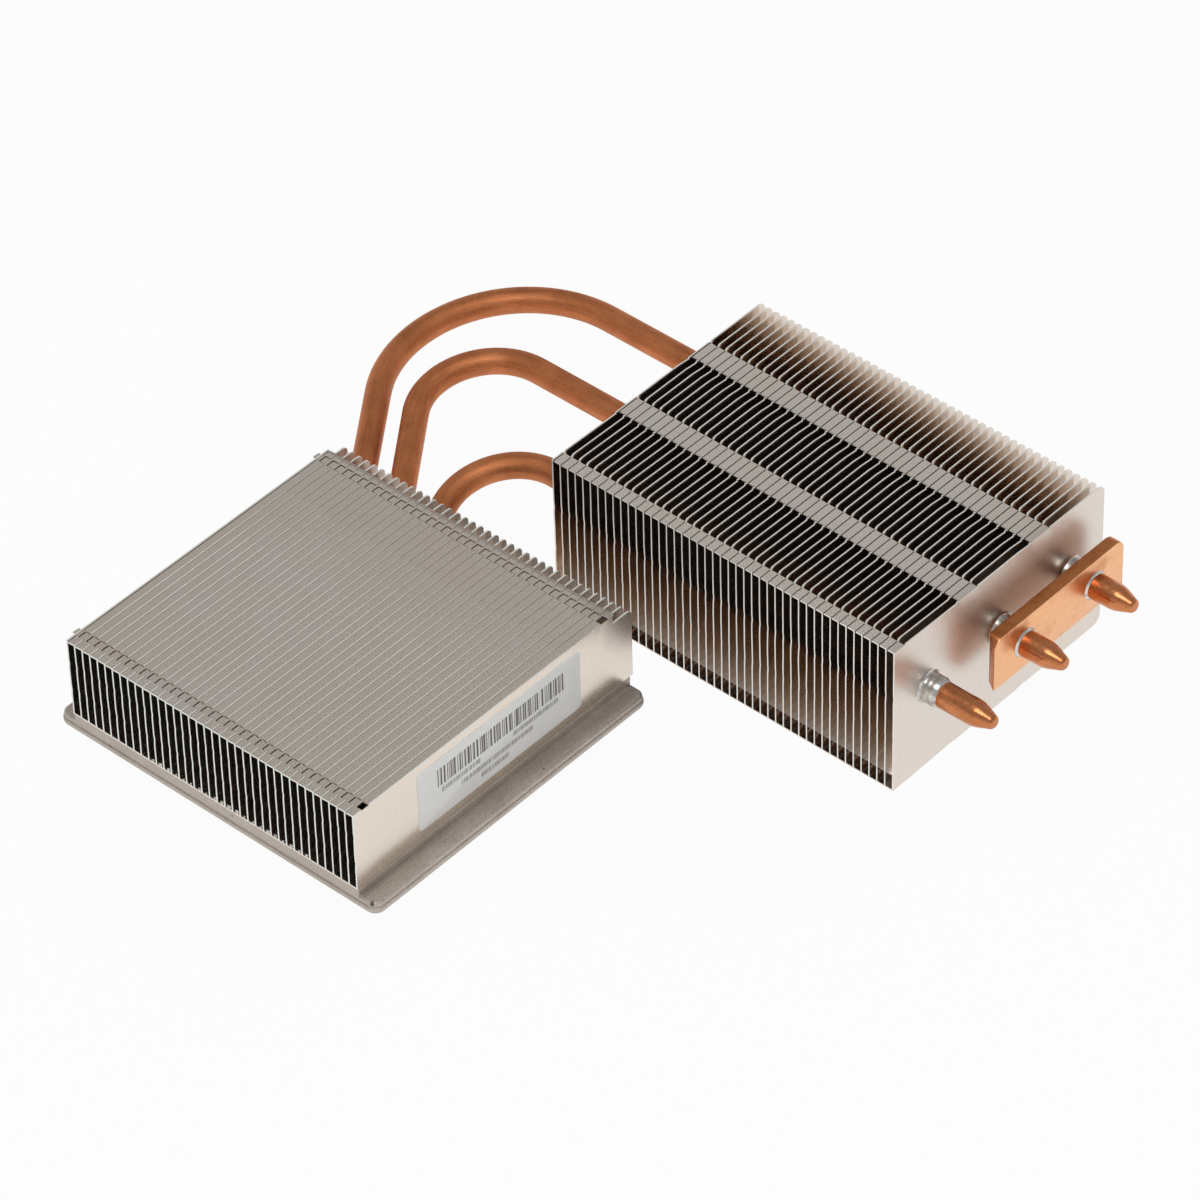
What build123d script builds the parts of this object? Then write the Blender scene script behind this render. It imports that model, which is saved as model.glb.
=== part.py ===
"""Passive server processor heatsink: a fin block on a cast base plate, three heat pipes, and a
remote fin block beside it. All sizes are in millimetres. X runs across the fins, Y along them,
Z is up. The origin is the middle of the base plate's underside, the face that meets the
processor's lid."""

import os
from math import copysign, cos, pi, radians, sin, tan

from build123d import *

# Sheet aluminium that both fin blocks are folded from.
SHEET = 0.4
SEAM = 0.15            # gap between a flange's edge and the next sheet

# Base plate: flange all round, raised boss under the fins.
BASE_LENGTH = 91.6
BASE_DEPTH = 84.4
BASE_THICK = 4.8
FLANGE_THICK = 2.8
FLANGE_CORNER = 2.5
LIP_THICK = 1.3        # lower half of the casting, below the parting line
LIP_STEP = 0.25
RELIEF_WIDTH = 1.0     # shallow groove at the foot of the boss
RELIEF_DEPTH = 0.25

# Processor block's fins.
CPU_COUNT = 38
CPU_PITCH = 2.2
CPU_HEIGHT = 21.0
CPU_TAIL = 6.2         # plain tail behind the folded flanges
TAIL_OVERHANG = 0.7    # past the base plate's rear edge
TAIL_DROP = 2.6        # tail's top lies this far under the flange
TAIL_CORNER = 1.3      # cut off its top corner

# Zipper rows that lock the processor block's top flanges together.
ZIP_FRONT = 3.6         # middle of the front row, from the front edge
ZIP_REAR = 1.9          # middle of the rear row, from the flanges' rear end
TAB_WIDTH = 1.9
TAB_REACH = 0.95        # past the flange's own edge
NOTCH_WIDTH = 2.2
NOTCH_REACH = 1.1       # from the fold's outer face

# Remote block's fins.
REMOTE_COUNT = 45
REMOTE_PITCH = 2.155
REMOTE_HEIGHT = 39.4
REMOTE_DEPTH = 70.0
REMOTE_LEFT = -1.8     # outer face of its first sheet
REMOTE_GAP = 23.5      # its front edges, behind the base plate's rear edge
REMOTE_CORNER = 2.0    # rounded rear corners of every sheet
BANDS = ((0.0, 3.3), (21.3, 5.8), (45.3, 6.0))  # start and length of each row of short flanges

# Heat pipes.
PIPE_DIAMETER = 6.0
PIPE_SIDES = 16        # narrow flats that stand for the round tube
PIPE_CLEARANCE = 0.05
PIPE_RISE = 22.2       # pipe axes above the remote block's underside
PIPE_MIDDLE = 35.0     # middle pipe behind the remote block's front edges
PIPE_SPACING = 23.6
PIPE_NAMES = ("rear", "middle", "front")
BEND_RADII = (31.1, 16.5, 15.5)
RUN_ANGLE = 35.3       # run to the base plate, measured from the fins' direction
RUN_CROSSING = 2.1     # where the middle pipe's run crosses the base plate's X axis
RUN_SPACING = 11.45
FLAT_HEIGHT = 3.2      # pressed section that lies in the groove
FLAT_LENGTH = 75.0     # of it inside the base plate
FLAT_LEAD = 4.0        # of it behind the base plate
PRESS_LENGTH = 5.0     # from round to flat
GROOVE_CLEARANCE = 0.1

# Pinched ends of the pipes, past the remote block's end sheet.
END_STRAIGHT = 12.4
END_SECTIONS = ((0.0, 1.0), (1.4, 0.93), (4.8, 0.57), (5.6, 0.38))  # distance on, share of radius

# Tie bar and solder.
BAR_LENGTH = 43.9
BAR_HEIGHT = 13.8
BAR_THICK = 3.2
BAR_OFFSET = 3.8       # its inner face from the end sheet
BAR_FRONT = 10.5       # its front end from the middle pipe
BAR_CORNER = 2.8       # both upper corners
COLLAR_WALL = 0.45
COLLAR_LENGTH = 4.3
RING_WALL = 0.55
RING_LENGTH = 0.5

# Label on the processor block's right-hand sheet.
LABEL_LENGTH = 50.0
LABEL_HEIGHT = 16.0
LABEL_THICK = 0.12
LABEL_START = 18.7     # from the front edge
LABEL_FOOT = 2.5       # above the fin's lower edge
LABEL_CORNER = 1.2

# Worked out from the values above.
CPU_LEFT = -((CPU_COUNT - 1) * CPU_PITCH + SHEET) / 2
CPU_FRONT = -BASE_DEPTH / 2
CPU_TOP = BASE_THICK + CPU_HEIGHT
CPU_DEPTH = BASE_DEPTH + TAIL_OVERHANG
CPU_FLANGE = CPU_DEPTH - CPU_TAIL
ZIP_ROWS = (ZIP_FRONT, CPU_FLANGE - ZIP_REAR)
REMOTE_FRONT = BASE_DEPTH / 2 + REMOTE_GAP
REMOTE_FOOT = CPU_TOP - REMOTE_HEIGHT
REMOTE_RIGHT = REMOTE_LEFT + (REMOTE_COUNT - 1) * REMOTE_PITCH + SHEET
PIPE_RADIUS = PIPE_DIAMETER / 2
PIPE_LEVEL = REMOTE_FOOT + PIPE_RISE
PIPE_ROWS = [REMOTE_FRONT + PIPE_MIDDLE + step * PIPE_SPACING for step in (1, 0, -1)]
HOLE_RADIUS = PIPE_RADIUS + PIPE_CLEARANCE
FLAT_RADIUS = FLAT_HEIGHT / 2
FLAT_STRAIGHT = pi * (PIPE_RADIUS - FLAT_RADIUS)  # pressing keeps the tube's girth
FLAT_WIDTH = FLAT_STRAIGHT + FLAT_HEIGHT
FLAT_LEVEL = BASE_THICK - FLAT_RADIUS
RUN = Vector(sin(radians(RUN_ANGLE)), -cos(radians(RUN_ANGLE)), 0)

os.makedirs("parts", exist_ok=True)


def save(shape, name):
    """Write one named piece."""
    shape.label = name
    export_step(shape, f"parts/{name}.step")


def tube_section(plane, radius, straight=0):
    """Section of a pipe, or of what fits round it: round, or pressed flat with a straight
    stretch between its rounded sides. The radius is that of the flats' middles."""
    corner = radius / cos(pi / PIPE_SIDES)
    corners = []
    for side in range(PIPE_SIDES):
        turn = 2 * pi * (side + 0.5) / PIPE_SIDES
        shift = copysign(straight / 2, cos(turn))
        corners.append((shift + corner * cos(turn), corner * sin(turn)))
    with BuildSketch(plane) as section:
        with BuildLine():
            Polyline(corners, close=True)
        make_face()
    return section.sketch


def run_point(index, y, z):
    """Point at depth y on the straight run of a pipe towards the base plate."""
    crossing = RUN_CROSSING + (index - 1) * RUN_SPACING
    return Vector(crossing - y * tan(radians(RUN_ANGLE)), y, z)


# Base plate: one casting. Its rim steps in above the mould's parting line, the boss carries
# the fins, and three slanting grooves in the boss take the pressed ends of the heat pipes.
boss_length = -2 * CPU_LEFT
with BuildPart() as base_plate:
    with BuildSketch():
        RectangleRounded(BASE_LENGTH, BASE_DEPTH, FLANGE_CORNER)
    extrude(amount=LIP_THICK)
    with BuildSketch(Plane.XY.offset(LIP_THICK)):
        RectangleRounded(BASE_LENGTH - 2 * LIP_STEP, BASE_DEPTH - 2 * LIP_STEP, FLANGE_CORNER)
    extrude(amount=FLANGE_THICK - LIP_THICK)
    with BuildSketch():
        Rectangle(boss_length, BASE_DEPTH)
    extrude(amount=BASE_THICK)
    # Relief grooves along the foot of the boss.
    with BuildSketch(Plane.XY.offset(FLANGE_THICK)):
        with GridLocations(boss_length + RELIEF_WIDTH, 0, 2, 1):
            Rectangle(RELIEF_WIDTH, BASE_DEPTH)
    extrude(amount=-RELIEF_DEPTH, mode=Mode.SUBTRACT)
    groove_width = FLAT_WIDTH + 2 * GROOVE_CLEARANCE
    groove_end = FLAT_LENGTH + GROOVE_CLEARANCE
    for index in range(len(PIPE_NAMES)):
        mouth = run_point(index, BASE_DEPTH / 2, BASE_THICK)
        with BuildSketch(Plane(origin=mouth, x_dir=RUN, z_dir=(0, 0, 1))):
            with Locations((groove_end / 2, 0)):
                Rectangle(groove_end, groove_width)
            Rectangle(groove_width * 2, groove_width)
        extrude(amount=-FLAT_HEIGHT, mode=Mode.SUBTRACT)
save(base_plate.part, "base_plate")

# One sheet of the processor block, seen from the side: its plain web, lower behind the flanges.
tail_top = CPU_HEIGHT - TAIL_DROP
with BuildSketch(Plane.YZ) as cpu_tail:
    with Locations((CPU_DEPTH / 2, tail_top / 2)):
        Rectangle(CPU_DEPTH, tail_top)
    chamfer(cpu_tail.vertices().group_by(Axis.X)[-1].sort_by(Axis.Y)[-1], TAIL_CORNER)


def cpu_sheet(folded):
    """A whole sheet: plain for the first one, and for the others folded to a C whose top
    flange has two tabs that reach into the notches of the sheet beside it."""
    reach = CPU_PITCH - SHEET - SEAM if folded else 0
    with BuildPart() as sheet:
        with BuildSketch(Plane.XZ):
            with Locations((SHEET / 2, CPU_HEIGHT / 2)):
                Rectangle(SHEET, CPU_HEIGHT)
            if folded:
                with Locations((SHEET - (reach + SHEET) / 2, SHEET / 2)):
                    Rectangle(reach + SHEET, SHEET)
                with Locations((SHEET - (reach + SHEET) / 2, CPU_HEIGHT - SHEET / 2)):
                    Rectangle(reach + SHEET, SHEET)
        extrude(amount=-CPU_FLANGE)
        extrude(cpu_tail.sketch, amount=SHEET)
        if folded:
            with BuildSketch(Plane.XY.offset(CPU_HEIGHT - SHEET)):
                with Locations([(-reach - TAB_REACH / 2, row) for row in ZIP_ROWS]):
                    Rectangle(TAB_REACH, TAB_WIDTH)
            extrude(amount=SHEET)
        with BuildSketch(Plane.XY.offset(CPU_HEIGHT - SHEET)):
            with Locations([(SHEET - NOTCH_REACH / 2, row) for row in ZIP_ROWS]):
                Rectangle(NOTCH_REACH, NOTCH_WIDTH)
        extrude(amount=SHEET, mode=Mode.SUBTRACT)
    return sheet.part


first_cpu_sheet = cpu_sheet(folded=False)
folded_cpu_sheet = cpu_sheet(folded=True)
cpu_sheets = [first_cpu_sheet.moved(Location((CPU_LEFT, CPU_FRONT, BASE_THICK)))]
for index in range(1, CPU_COUNT):
    place = Location((CPU_LEFT + index * CPU_PITCH, CPU_FRONT, BASE_THICK))
    cpu_sheets.append(folded_cpu_sheet.moved(place))
save(Compound(children=cpu_sheets), "cpu_fins")

# One sheet of the remote block, seen from the side, without its pipe holes.
with BuildSketch(Plane.YZ) as remote_web:
    with Locations((REMOTE_DEPTH / 2, REMOTE_HEIGHT / 2)):
        Rectangle(REMOTE_DEPTH, REMOTE_HEIGHT)
    chamfer(remote_web.vertices().group_by(Axis.X)[-1], REMOTE_CORNER)


def remote_sheet(end_sheet, folded):
    """A whole sheet: its web and, unless it is the plain first one, its short flanges. The
    holes of the end sheets fit the pipes. Those between are hidden, and plain squares."""
    reach = REMOTE_PITCH - SHEET - SEAM
    with BuildPart() as sheet:
        extrude(remote_web.sketch, amount=SHEET)
        if folded:
            for level, rise in ((0, SHEET), (REMOTE_HEIGHT, -SHEET)):
                with BuildSketch(Plane.XY.offset(level)):
                    for start, length in BANDS:
                        with Locations((-reach / 2, start + length / 2)):
                            Rectangle(reach, length)
                extrude(amount=rise)
        for row in PIPE_ROWS:
            hole_plane = Plane.YZ.shift_origin((0, row - REMOTE_FRONT, PIPE_RISE))
            if end_sheet:
                extrude(tube_section(hole_plane, HOLE_RADIUS), amount=SHEET, mode=Mode.SUBTRACT)
            else:
                with BuildSketch(hole_plane):
                    Rectangle(2 * HOLE_RADIUS, 2 * HOLE_RADIUS)
                extrude(amount=SHEET, mode=Mode.SUBTRACT)
    return sheet.part


first_sheet = remote_sheet(end_sheet=True, folded=False)
inner_sheet = remote_sheet(end_sheet=False, folded=True)
last_sheet = remote_sheet(end_sheet=True, folded=True)
remote_shapes = [first_sheet] + [inner_sheet] * (REMOTE_COUNT - 2) + [last_sheet]
for index, shape in enumerate(remote_shapes):
    place = Location((REMOTE_LEFT + index * REMOTE_PITCH, REMOTE_FRONT, REMOTE_FOOT))
    save(shape.moved(place), f"remote_fin_{index + 1:02d}")


def heat_pipe(index):
    """A pipe from its pinched end, through the remote block, round its bend and down to the
    base plate, where it is pressed flat and lies in its groove."""
    row = PIPE_ROWS[index]
    end_start = Vector(REMOTE_RIGHT + END_STRAIGHT, row, PIPE_LEVEL)
    bend_corner = run_point(index, row, PIPE_LEVEL)
    press_end = run_point(index, BASE_DEPTH / 2, FLAT_LEVEL) - RUN * FLAT_LEAD
    press_start = press_end - RUN * PRESS_LENGTH
    leg = (press_start - bend_corner).normalized()
    with BuildPart() as pipe:
        with BuildLine() as route:
            FilletPolyline(end_start, bend_corner, press_start, radius=BEND_RADII[index])
        start_plane = Plane(origin=end_start, x_dir=(0, 1, 0), z_dir=(-1, 0, 0))
        sweep(tube_section(start_plane, PIPE_RADIUS), path=route.wires()[0])
        end_sections = [
            tube_section(start_plane.offset(-far), share * PIPE_RADIUS)
            for far, share in END_SECTIONS
        ]
        loft(end_sections, ruled=True)
        level = Vector(0, 0, 1).cross(RUN)
        loft(
            [
                tube_section(Plane(origin=press_start, x_dir=level, z_dir=leg), PIPE_RADIUS),
                tube_section(Plane(press_end, level, RUN), FLAT_RADIUS, FLAT_STRAIGHT),
            ],
            ruled=True,
        )
        pressed = tube_section(Plane(press_end, level, RUN), FLAT_RADIUS, FLAT_STRAIGHT)
        extrude(pressed, amount=FLAT_LEAD + FLAT_LENGTH)
    return pipe.part


for index, name in enumerate(PIPE_NAMES):
    save(heat_pipe(index), f"heat_pipe_{name}")

# Tie bar: a flat copper strip that the rear and middle pipes pass through. The sketch's own Y
# is the part's Z, so its last group of corners is the upper one.
bar_middle = PIPE_ROWS[1] - BAR_FRONT + BAR_LENGTH / 2
bar_inner = REMOTE_RIGHT + BAR_OFFSET
bar_plane = Plane(origin=(bar_inner, bar_middle, PIPE_LEVEL), x_dir=(0, 1, 0), z_dir=(1, 0, 0))
with BuildPart() as tie_bar:
    with BuildSketch(bar_plane) as outline:
        Rectangle(BAR_LENGTH, BAR_HEIGHT)
        fillet(outline.vertices().group_by(Axis.Y)[-1], BAR_CORNER)
    extrude(amount=BAR_THICK)
    for row in PIPE_ROWS[:2]:
        hole_plane = bar_plane.shift_origin((bar_inner, row, PIPE_LEVEL))
        extrude(tube_section(hole_plane, HOLE_RADIUS), amount=BAR_THICK, mode=Mode.SUBTRACT)
save(tie_bar.part, "tie_bar")


def solder_sleeve(x, row, length, wall):
    """A short ring of solder round a pipe."""
    plane = Plane(origin=(x, row, PIPE_LEVEL), x_dir=(0, 1, 0), z_dir=(1, 0, 0))
    with BuildPart() as sleeve:
        extrude(tube_section(plane, HOLE_RADIUS + wall), amount=length)
        extrude(tube_section(plane, HOLE_RADIUS), amount=length, mode=Mode.SUBTRACT)
    return sleeve.part


for name, row in zip(PIPE_NAMES, PIPE_ROWS):
    length = COLLAR_LENGTH if name == "front" else BAR_OFFSET
    save(solder_sleeve(REMOTE_RIGHT, row, length, COLLAR_WALL), f"solder_collar_{name}")
for name, row in zip(PIPE_NAMES[:2], PIPE_ROWS):
    outer = bar_inner + BAR_THICK
    save(solder_sleeve(outer, row, RING_LENGTH, RING_WALL), f"solder_ring_{name}")

# Label: a thin sticker on the outer face of the last sheet.
label_y = CPU_FRONT + LABEL_START + LABEL_LENGTH / 2
label_z = BASE_THICK + LABEL_FOOT + LABEL_HEIGHT / 2
label_plane = Plane(origin=(-CPU_LEFT, label_y, label_z), x_dir=(0, 1, 0), z_dir=(1, 0, 0))
with BuildPart() as label:
    with BuildSketch(label_plane):
        RectangleRounded(LABEL_LENGTH, LABEL_HEIGHT, LABEL_CORNER)
    extrude(amount=LABEL_THICK)
save(label.part, "label")
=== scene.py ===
"""Passive server processor heatsink, dressed for a studio photograph. Lengths are written in
millimetres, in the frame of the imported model: X across the fins, Y along them, Z up."""

import random
from math import ceil, copysign, cos, pi, radians, sin, tan

import bmesh
import bpy
from mathutils import Matrix, Vector, noise
from mathutils.geometry import delaunay_2d_cdt


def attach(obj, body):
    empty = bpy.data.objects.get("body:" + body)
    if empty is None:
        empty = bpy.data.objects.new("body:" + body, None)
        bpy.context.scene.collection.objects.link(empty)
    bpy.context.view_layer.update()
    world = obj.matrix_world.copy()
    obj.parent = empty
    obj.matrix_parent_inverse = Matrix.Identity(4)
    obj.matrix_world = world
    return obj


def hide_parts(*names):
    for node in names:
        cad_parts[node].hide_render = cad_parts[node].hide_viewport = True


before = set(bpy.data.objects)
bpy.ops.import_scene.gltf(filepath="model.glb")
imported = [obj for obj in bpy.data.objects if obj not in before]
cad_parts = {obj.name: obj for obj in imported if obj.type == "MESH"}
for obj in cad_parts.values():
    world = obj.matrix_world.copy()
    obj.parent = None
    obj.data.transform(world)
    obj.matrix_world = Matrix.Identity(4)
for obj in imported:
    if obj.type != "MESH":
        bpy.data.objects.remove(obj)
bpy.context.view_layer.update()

# Base plate: one aluminium casting. A flange runs round it, its rim steps in above the mould's
# parting line, and a raised boss carries the fins. It is milled flat on top and underneath, and
# three slanting grooves in the boss take the pressed ends of the heat pipes.
MM = 0.001
BASE_HALF_LENGTH = 45.8
BASE_HALF_DEPTH = 42.2
BASE_TOP = 4.8
FLANGE_CORNER = 2.5
BOSS_HALF_LENGTH = 40.9
BOSS_EDGE = 0.22
RELIEF_WIDTH = 1.05
RELIEF_FLOOR = 2.6
CORNER_STEPS = 7
RIM = ((0.5, 0.0), (0.14, 0.1), (0.0, 0.42), (0.0, 1.08), (0.06, 1.24), (0.24, 1.32), (0.36, 1.42),
       (0.27, 1.54), (0.25, 2.15), (0.31, 2.45), (0.5, 2.68), (0.85, 2.8))  # inset, height
RIM_FLUSH = 8            # last level of the rim that the front of the boss shares
GROOVE_RISE = 1.6
GROOVE_HALF_WIDTH = 3.92
GROOVE_LENGTH = 75.1
RUN_ANGLE = radians(35.3)
RUN_CROSSING = 2.1
RUN_SPACING = 11.45
RUN = Vector((sin(RUN_ANGLE), -cos(RUN_ANGLE), 0))
WHITE = (1, 1, 1, 1)


def put(name, data):
    """A new object in the scene."""
    made = bpy.data.objects.new(name, data)
    bpy.context.scene.collection.objects.link(made)
    return made


def make_piece(name, points, faces, material, sharp=38, cut=None):
    """A shown object from corners in millimetres, shaded smooth except at its sharp edges. cut
    gives each face its share of the pale cut-edge colour for the material, from 0 to 1: 1 where
    it was cut, and less on the roof's folds, where the pale colour is a painted highlight."""
    mesh = bpy.data.meshes.new(name)
    mesh.from_pydata([Vector(point) * MM for point in points], [], faces)
    if cut:
        mesh.attributes.new("cut", "FLOAT", "FACE").data.foreach_set("value", cut)
    shell = bmesh.new()
    shell.from_mesh(mesh)
    bmesh.ops.remove_doubles(shell, verts=shell.verts, dist=0.002 * MM)
    bmesh.ops.recalc_face_normals(shell, faces=shell.faces)
    for edge in shell.edges:
        edge.smooth = edge.is_manifold and edge.calc_face_angle(pi) < radians(sharp)
    for face in shell.faces:
        face.smooth = True
    shell.to_mesh(mesh)
    shell.free()
    mesh.materials.append(material)
    return put(name, mesh)


def run_point(index, y, z):
    """Point at depth y on the straight run of a heat pipe towards the base plate."""
    crossing = RUN_CROSSING + (index - 1) * RUN_SPACING
    return Vector((crossing - y * tan(RUN_ANGLE), y, z))


def rim_columns(inset):
    """The right-hand half of the rim, seen from above: front edge, two rounded corners, rear."""
    radius = FLANGE_CORNER - inset
    middle_x = BASE_HALF_LENGTH - FLANGE_CORNER
    middle_y = BASE_HALF_DEPTH - FLANGE_CORNER
    front = BASE_HALF_DEPTH - inset
    columns = [(BOSS_HALF_LENGTH, -front), (BOSS_HALF_LENGTH + RELIEF_WIDTH, -front)]
    for step in range(CORNER_STEPS + 1):
        turn = pi / 2 * step / CORNER_STEPS
        columns.append((middle_x + radius * sin(turn), -middle_y - radius * cos(turn)))
    return columns + [(x, -y) for x, y in reversed(columns)]


def new_group(name, inputs, outputs):
    """An empty shader node group with named sockets, as (tree, what it is given, what it puts out)."""
    tree = bpy.data.node_groups.new(name, "ShaderNodeTree")
    for label, kind, default in inputs:
        socket = tree.interface.new_socket(label, in_out="INPUT", socket_type=kind)
        if default is not None:
            socket.default_value = default
    for label, kind in outputs:
        tree.interface.new_socket(label, in_out="OUTPUT", socket_type=kind)
    return tree, tree.nodes.new("NodeGroupInput").outputs, tree.nodes.new("NodeGroupOutput").inputs


def feed(tree, socket, value):
    """Gives a socket a number or a colour, or links it to the socket that feeds it."""
    if isinstance(value, bpy.types.NodeSocket):
        tree.links.new(value, socket)
    else:
        socket.default_value = value


def node(tree, kind, inputs=(), **settings):
    """A node with its settings; inputs are (socket, value) pairs."""
    made = tree.nodes.new(kind)
    for key, value in settings.items():
        setattr(made, key, value)
    for socket, value in inputs:
        feed(tree, made.inputs[socket], value)
    return made


def place_on(tree):
    """Where a point of the surface lies, in metres in the part's frame."""
    return node(tree, "ShaderNodeTexCoord").outputs["Object"]


def math(tree, how, *values):
    """The result of a Math node."""
    return node(tree, "ShaderNodeMath", enumerate(values), operation=how).outputs[0]


def ramp(tree, value, low, high, start=0.0, end=1.0):
    """Maps a value from low..high to start..end, held at both ends; the ends may be sockets."""
    ends = (("Value", value), ("From Min", low), ("From Max", high), ("To Min", start), ("To Max", end))
    return node(tree, "ShaderNodeMapRange", ends).outputs["Result"]


def blend(tree, mask, first, second, how="MIX"):
    """Two colours mixed by a mask."""
    return node(tree, "ShaderNodeMix", ((0, mask), (6, first), (7, second)), data_type="RGBA",
                blend_type=how).outputs[2]


def tinted(tree, colour, mask, first, second):
    """The colour times one shade where the mask is 0, and another where it is 1."""
    return blend(tree, 1.0, colour, blend(tree, mask, first, second), "MULTIPLY")


def new_material(name, metallic=1.0):
    """An empty material, as (material, its node tree, its Principled BSDF)."""
    material = bpy.data.materials.new(name)
    material.use_nodes = True
    shader = material.node_tree.nodes["Principled BSDF"]
    shader.inputs["Metallic"].default_value = metallic
    return material, material.node_tree, shader


def surface(tree, shader, colour, roughness, height, strength, depth):
    """Feeds a material its colour, its roughness and its relief, which comes from a height."""
    bump = node(tree, "ShaderNodeBump", (("Height", height), ("Strength", strength), ("Distance", depth)))
    feed(tree, shader.inputs["Base Color"], colour)
    feed(tree, shader.inputs["Roughness"], roughness)
    feed(tree, shader.inputs["Normal"], bump.outputs["Normal"])


def grain_group():
    """Speckle, cloudy patches and a bump height, from a place in metres stretched by Stretch."""
    tree, given, out = new_group(
        "metal_grain",
        [("Place", "NodeSocketVector", None), ("Stretch", "NodeSocketVector", (1, 1, 1)),
         ("Speckle size", "NodeSocketFloat", 0.0004), ("Patch size", "NodeSocketFloat", 0.012)],
        [("Speckle", "NodeSocketFloat"), ("Patches", "NodeSocketFloat"), ("Height", "NodeSocketFloat")])
    place = node(tree, "ShaderNodeVectorMath", ((0, given["Place"]), (1, given["Stretch"])),
                 operation="MULTIPLY").outputs[0]
    for result, size, detail, roughness in (("Speckle", "Speckle size", 3.0, 0.65),
                                            ("Patches", "Patch size", 4.0, 0.55)):
        clouds = node(tree, "ShaderNodeTexNoise", (
            ("Vector", place), ("Scale", math(tree, "DIVIDE", 1.0, given[size])), ("Detail", detail),
            ("Roughness", roughness))).outputs["Fac"]
        feed(tree, out[result], ramp(tree, clouds, 0.3, 0.7))
        if result == "Speckle":
            feed(tree, out["Height"], clouds)
    return tree


metal_grain = grain_group()


def grain(tree, stretch=(1, 1, 1), speckle=0.0004, patches=0.012, place=None):
    """The metal grain placed in a material, as the sockets that it puts out."""
    place = place_on(tree) if place is None else place
    return node(tree, "ShaderNodeGroup", (("Place", place), ("Stretch", stretch), ("Speckle size", speckle),
                                          ("Patch size", patches)), node_tree=metal_grain).outputs


def cast_aluminium():
    """Bead-blasted casting: satin and sandy, with a few dark pits."""
    material, tree, shader = new_material("cast_aluminium")
    sand = grain(tree, speckle=0.00032, patches=0.009)
    colour = blend(tree, sand["Speckle"], (0.44, 0.39, 0.345, 1), (0.74, 0.675, 0.61, 1))
    colour = tinted(tree, colour, sand["Patches"], (0.86, 0.85, 0.84, 1), WHITE)
    pits = node(tree, "ShaderNodeTexNoise", (("Vector", place_on(tree)), ("Scale", 330.0), ("Detail", 1.0)))
    colour = blend(tree, ramp(tree, pits.outputs["Fac"], 0.74, 0.79), colour, (0.13, 0.11, 0.1, 1))
    rough = ramp(tree, sand["Speckle"], 0, 1, 0.52, 0.66)
    surface(tree, shader, colour, rough, sand["Height"], 0.35, 0.00012)
    return material


points, faces, halves = [], [], []


def added(new):
    """Adds points to the base plate and returns their numbers."""
    points.extend(new)
    return range(len(points) - len(new), len(points))


for side in (1, -1):
    rims = [added([(side * x, y, height) for x, y in rim_columns(inset)]) for inset, height in RIM]
    for lower, upper in zip(rims, rims[1:]):
        faces += zip(lower, lower[1:], upper[1:], upper)
    # Flange top, the relief groove along the foot of the boss, and the side of the boss.
    top = rims[-1]
    foot_y = BASE_HALF_DEPTH - RIM[-1][0]
    foot_x = BOSS_HALF_LENGTH + RELIEF_WIDTH - 0.08
    groove = added([(side * x, y, RELIEF_FLOOR) for x, y in (
        (BOSS_HALF_LENGTH, -foot_y), (foot_x, -foot_y), (foot_x, foot_y), (BOSS_HALF_LENGTH, foot_y))])
    boss_y = BASE_HALF_DEPTH - RIM[RIM_FLUSH][0]
    boss = added([(side * (BOSS_HALF_LENGTH - edge), y, BASE_TOP - BOSS_EDGE + edge) for edge, y in (
        (0, -boss_y), (0, boss_y), (BOSS_EDGE, boss_y - BOSS_EDGE), (BOSS_EDGE, BOSS_EDGE - boss_y))])
    faces += [top[1:-1], groove, boss, (groove[1], top[1], top[-2], groove[2]),
              (groove[0], groove[1], top[1], top[0]), (groove[3], groove[2], top[-2], top[-1])]
    faces.append([rim[0] for rim in rims[RIM_FLUSH:]] + [groove[0], groove[3]]
                 + [rim[-1] for rim in rims[:RIM_FLUSH - 1:-1]] + [boss[1], boss[0]])
    halves.append((rims, boss))
for column, lower, upper in ((0, 0, 3), (-1, 1, 2)):
    right, left = [[rim[column] for rim in rims[:RIM_FLUSH + 1]] + [boss[lower], boss[upper]]
                   for rims, boss in halves]
    faces += zip(right, left, left[1:], right[1:])
(right, right_boss), (left, left_boss) = halves
faces += [(right_boss[3], right_boss[2], left_boss[2], left_boss[3]), [*right[0], *reversed(left[0])]]
base_plate = make_piece("dressed_base_plate", points, faces, cast_aluminium())
for index in range(3):
    mouth = run_point(index, BASE_HALF_DEPTH, 0)
    across = Vector((0, 0, 1)).cross(RUN)
    ends = [mouth - RUN * 12, mouth + RUN * GROOVE_LENGTH]
    corners = [end + across * reach + Vector((0, 0, height)) for end in ends
               for reach, height in ((-GROOVE_HALF_WIDTH, GROOVE_RISE), (GROOVE_HALF_WIDTH, GROOVE_RISE),
                                     (GROOVE_HALF_WIDTH, BASE_TOP + 3), (-GROOVE_HALF_WIDTH, BASE_TOP + 3))]
    sides = [(0, 1, 2, 3), (4, 5, 6, 7), (0, 1, 5, 4), (1, 2, 6, 5), (2, 3, 7, 6), (3, 0, 4, 7)]
    cutter = make_piece("groove_cutter", corners, sides, base_plate.data.materials[0])
    cut = base_plate.modifiers.new("groove", "BOOLEAN")
    cut.operation = "DIFFERENCE"
    cut.solver = "EXACT"
    cut.object = cutter
    bpy.context.view_layer.update()
    ready = base_plate.evaluated_get(bpy.context.evaluated_depsgraph_get())
    grooved = bpy.data.meshes.new_from_object(ready)
    base_plate.modifiers.clear()
    base_plate.data = grooved
    bpy.data.objects.remove(cutter)
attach(base_plate, "root")
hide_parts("base_plate")


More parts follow.
